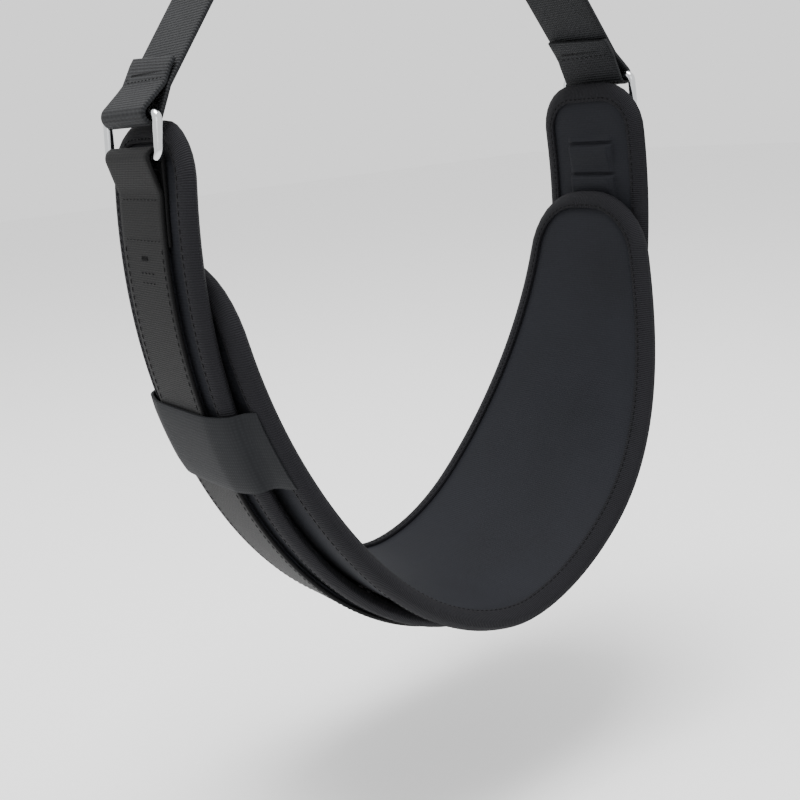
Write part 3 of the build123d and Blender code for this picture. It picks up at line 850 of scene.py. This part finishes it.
class SWING_OT_straps(bpy.types.Operator):
    """Make the upper straps with their loops, flaps and tacks"""
    bl_idname = "swing.straps"
    bl_label = "Upper straps"

    def execute(self, context):
        width = context.scene.swing_seat_sizes.webbing_width
        length, throat, tail = 0.125, 0.017, 0.031
        for name, side in SIDES.items():
            path = [(tail, -0.0013), (throat, -0.0012)]
            path += round_bar((0, 0), BAR_RADIUS + 0.0022, (throat, -0.0012), (throat, 0.0012))
            path += [(throat, 0.0012), (length - throat, 0.0012)]
            path += round_bar((length, 0), BAR_RADIUS + 0.00155, (length - throat, 0.0012),
                              (length - throat, -0.0012))
            path += [(length - throat, -0.0012), (length - tail, -0.0013)]
            bm = tape(fill_in(path, 0.005), width, 12, lambda co: co)
            for vert in bm.verts:
                near = min(vert.co.x, length - vert.co.x)
                if vert.co.z < -0.0010 and throat - 0.004 < near:
                    loose = ease((near - throat + 0.004) / (tail - throat))
                    vert.co.x += (0.07 * vert.co.y + 0.0015) * loose * (1 if vert.co.x < length / 2 else -1)
                    vert.co.y += 0.0016 * loose * (-side)
                    vert.co.z -= 0.0009 * loose * loose
            move_all(bm, on_strap(side))
            strap = finish_piece(f"upper_strap_web_{name}", bm, bpy.data.materials["Woven polyester webbing"],
                                 f"strap_{name}", (f"upper_strap_{name}",))
            thicken(strap, 0.0023, 0.0007)
            thread = bmesh.new()
            out = Vector((0, 0, -1))
            for low, high in ((throat + 0.002, tail - 0.002), (length - tail + 0.002, length - throat - 0.002)):
                for across in (-width / 2 + 0.0035, width / 2 - 0.0035):
                    sew(thread, [(low, across, -0.00245), (high, across, -0.00245)], out)
                for reach in (low, high):
                    sew(thread, [(reach, -width / 2 + 0.0035, -0.00245),
                                 (reach, width / 2 - 0.0035, -0.00245)], out)
            for reach in (tail - 0.008, length - tail + 0.008):
                tack(thread, Vector((reach, 0, -0.0025)), Vector((0, 1, 0)), out, 0.036, 0.0026)
            move_all(thread, on_strap(side))
            finish_piece(f"upper_strap_stitches_{name}", thread, bpy.data.materials["Bonded polyester thread"],
                         f"strap_{name}", (f"strap_bar_tacks_{name}",))
        return {"FINISHED"}


class SWING_OT_metal(bpy.types.Operator):
    """Give the rings and carabiners their plating"""
    bl_idname = "swing.metal"
    bl_label = "Rings and carabiners"

    def execute(self, context):
        chrome = bpy.data.materials["Chrome plated steel"]
        zinc = bpy.data.materials["Zinc plated steel"]
        for name in SIDES:
            for node, material in ((f"ring_{name}", chrome), (f"top_ring_{name}", chrome),
                                   (f"carabiner_{name}", zinc), (f"gate_{name}", zinc),
                                   (f"gate_pin_{name}", chrome), (f"gate_spring_{name}", zinc)):
                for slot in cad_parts[node].material_slots:
                    slot.material = material
        return {"FINISHED"}


class SWING_OT_stage(bpy.types.Operator):
    """Make the floor, the studio lights and the camera"""
    bl_idname = "swing.stage"
    bl_label = "Stage"

    def execute(self, context):
        scene = context.scene
        bm = bmesh.new()
        bmesh.ops.create_grid(bm, x_segments=8, y_segments=8, size=6)
        for vert in bm.verts:
            vert.co.z = BELT_BOTTOM - FLOOR_DROP
        mesh = bpy.data.meshes.new("studio_floor")
        bm.to_mesh(mesh)
        bm.free()
        mesh.materials.append(painted_floor())
        floor = bpy.data.objects.new("studio_floor", mesh)
        scene.collection.objects.link(floor)
        world = bpy.data.worlds.new("Studio white")
        world.use_nodes = True
        world.node_tree.nodes["Background"].inputs["Color"].default_value = (1.0, 1.0, 1.0, 1.0)
        world.node_tree.nodes["Background"].inputs["Strength"].default_value = 1.3
        scene.world = world
        for name, place, target, size, power in (
                ("Overhead softbox", (-0.2, -0.1, 1.4), (0, 0, -0.3), 1.0, 50),
                ("Front softbox", (-1.3, -1.4, 0.5), (0, 0, -0.3), 1.1, 3)):
            data = bpy.data.lights.new(name, "AREA")
            data.size = size
            data.energy = power
            lamp = bpy.data.objects.new(name, data)
            lamp.location = place
            lamp.rotation_euler = (Vector(target) - Vector(place)).to_track_quat("-Z", "Y").to_euler()
            scene.collection.objects.link(lamp)
        data = bpy.data.cameras.new("Camera")
        data.lens = CAMERA_LENS
        data.sensor_width = 36.0
        camera = bpy.data.objects.new("Camera", data)
        camera.location = CAMERA_PLACE
        heading, tilt, roll = (math.radians(angle) for angle in CAMERA_TURN)
        turn = Matrix.Rotation(-heading, 3, "Z") @ Matrix.Rotation(math.pi / 2 + tilt, 3, "X")
        camera.rotation_euler = (turn @ Matrix.Rotation(roll, 3, "Z")).to_euler()
        scene.collection.objects.link(camera)
        scene.camera = camera
        return {"FINISHED"}


OPERATORS = (SWING_OT_materials, SWING_OT_pads, SWING_OT_bindings, SWING_OT_load_webbing, SWING_OT_keepers,
             SWING_OT_quilts, SWING_OT_straps, SWING_OT_metal, SWING_OT_stage)


class SWING_PT_panel(bpy.types.Panel):
    """Sizes, colours and steps of the swing seat"""
    bl_idname = "SWING_PT_panel"
    bl_label = "Belt swing seat"
    bl_space_type = "VIEW_3D"
    bl_region_type = "UI"
    bl_category = "Swing seat"

    def draw(self, context):
        for group in (context.scene.swing_seat_sizes, context.scene.swing_seat_colours):
            box = self.layout.box()
            for name in group.__annotations__:
                box.prop(group, name)
        for operator in OPERATORS:
            self.layout.operator(operator.bl_idname)


CLASSES = (SwingSeatSizes, SwingSeatColours, *OPERATORS, SWING_PT_panel)


def register():
    for item in CLASSES:
        bpy.utils.register_class(item)
    bpy.types.Scene.swing_seat_sizes = bpy.props.PointerProperty(type=SwingSeatSizes)
    bpy.types.Scene.swing_seat_colours = bpy.props.PointerProperty(type=SwingSeatColours)


def unregister():
    del bpy.types.Scene.swing_seat_colours
    del bpy.types.Scene.swing_seat_sizes
    for item in reversed(CLASSES):
        bpy.utils.unregister_class(item)


def main():
    """Builds everything in order."""
    register()
    bpy.ops.swing.materials()
    bpy.ops.swing.pads()
    bpy.ops.swing.bindings()
    bpy.ops.swing.load_webbing()
    bpy.ops.swing.keepers()
    bpy.ops.swing.quilts()
    bpy.ops.swing.straps()
    bpy.ops.swing.metal()
    bpy.ops.swing.stage()


if __name__ == "__main__":
    main()
